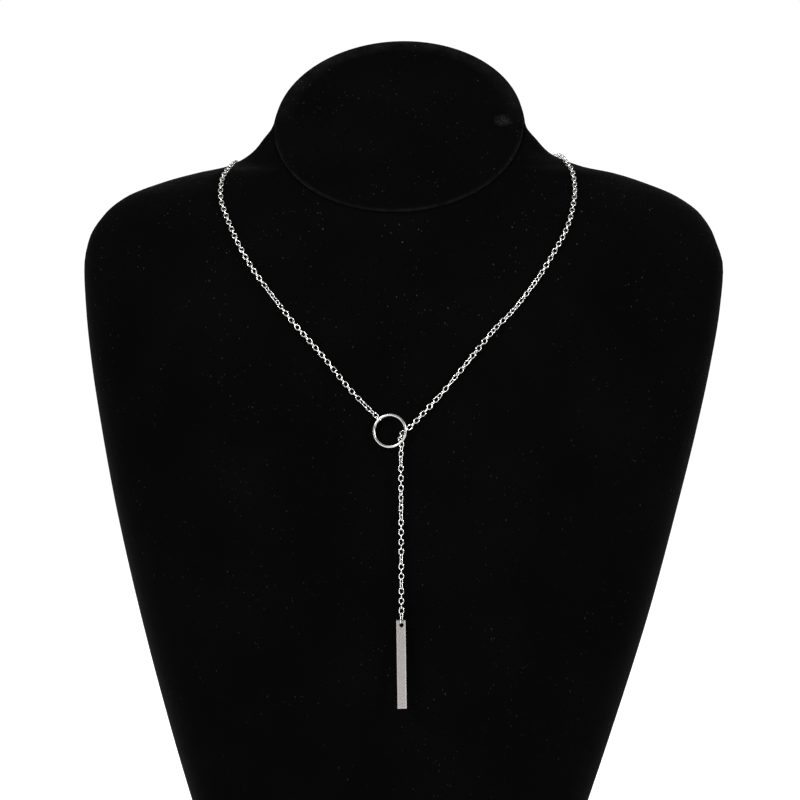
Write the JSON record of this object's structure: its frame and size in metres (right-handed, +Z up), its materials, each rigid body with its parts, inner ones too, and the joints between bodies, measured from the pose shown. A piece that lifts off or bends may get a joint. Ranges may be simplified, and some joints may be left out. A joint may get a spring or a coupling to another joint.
{
  "type": "bar lariat necklace on a neck bust",
  "caption": "Silver-tone cable chain lariat with a ring, a drop chain drawn through it and a slim hanging bar, worn on a black velvet neck bust.",
  "frame": {"origin": "on the plane the bust stands on, under the necklace's middle line", "axes": "+Z up, -Y the way the bust faces, +X the bust's left, at the viewer's right"},
  "size_m": [0.2936, 0.1328, 0.3828],
  "materials": {
    "velvet": "black velvet, matt with a soft rim sheen",
    "silver": "bright silver plating, satin on the bar's face"
  },
  "bodies": {
    "display": {"neck_form": "velvet", "neck_panel": "velvet", "base_board": "velvet", "front_chain": "silver", "back_chain": "silver", "ring": "silver"},
    "bar": {"bar": "silver"}
  },
  "joints": [
    {"name": "bar_swing", "type": "hinge", "parent": "display", "child": "bar", "pos_m": [0.00065, -0.0688, 0.11425], "axis": [0, 1, 0], "range_deg": [-20, 20]}
  ]
}
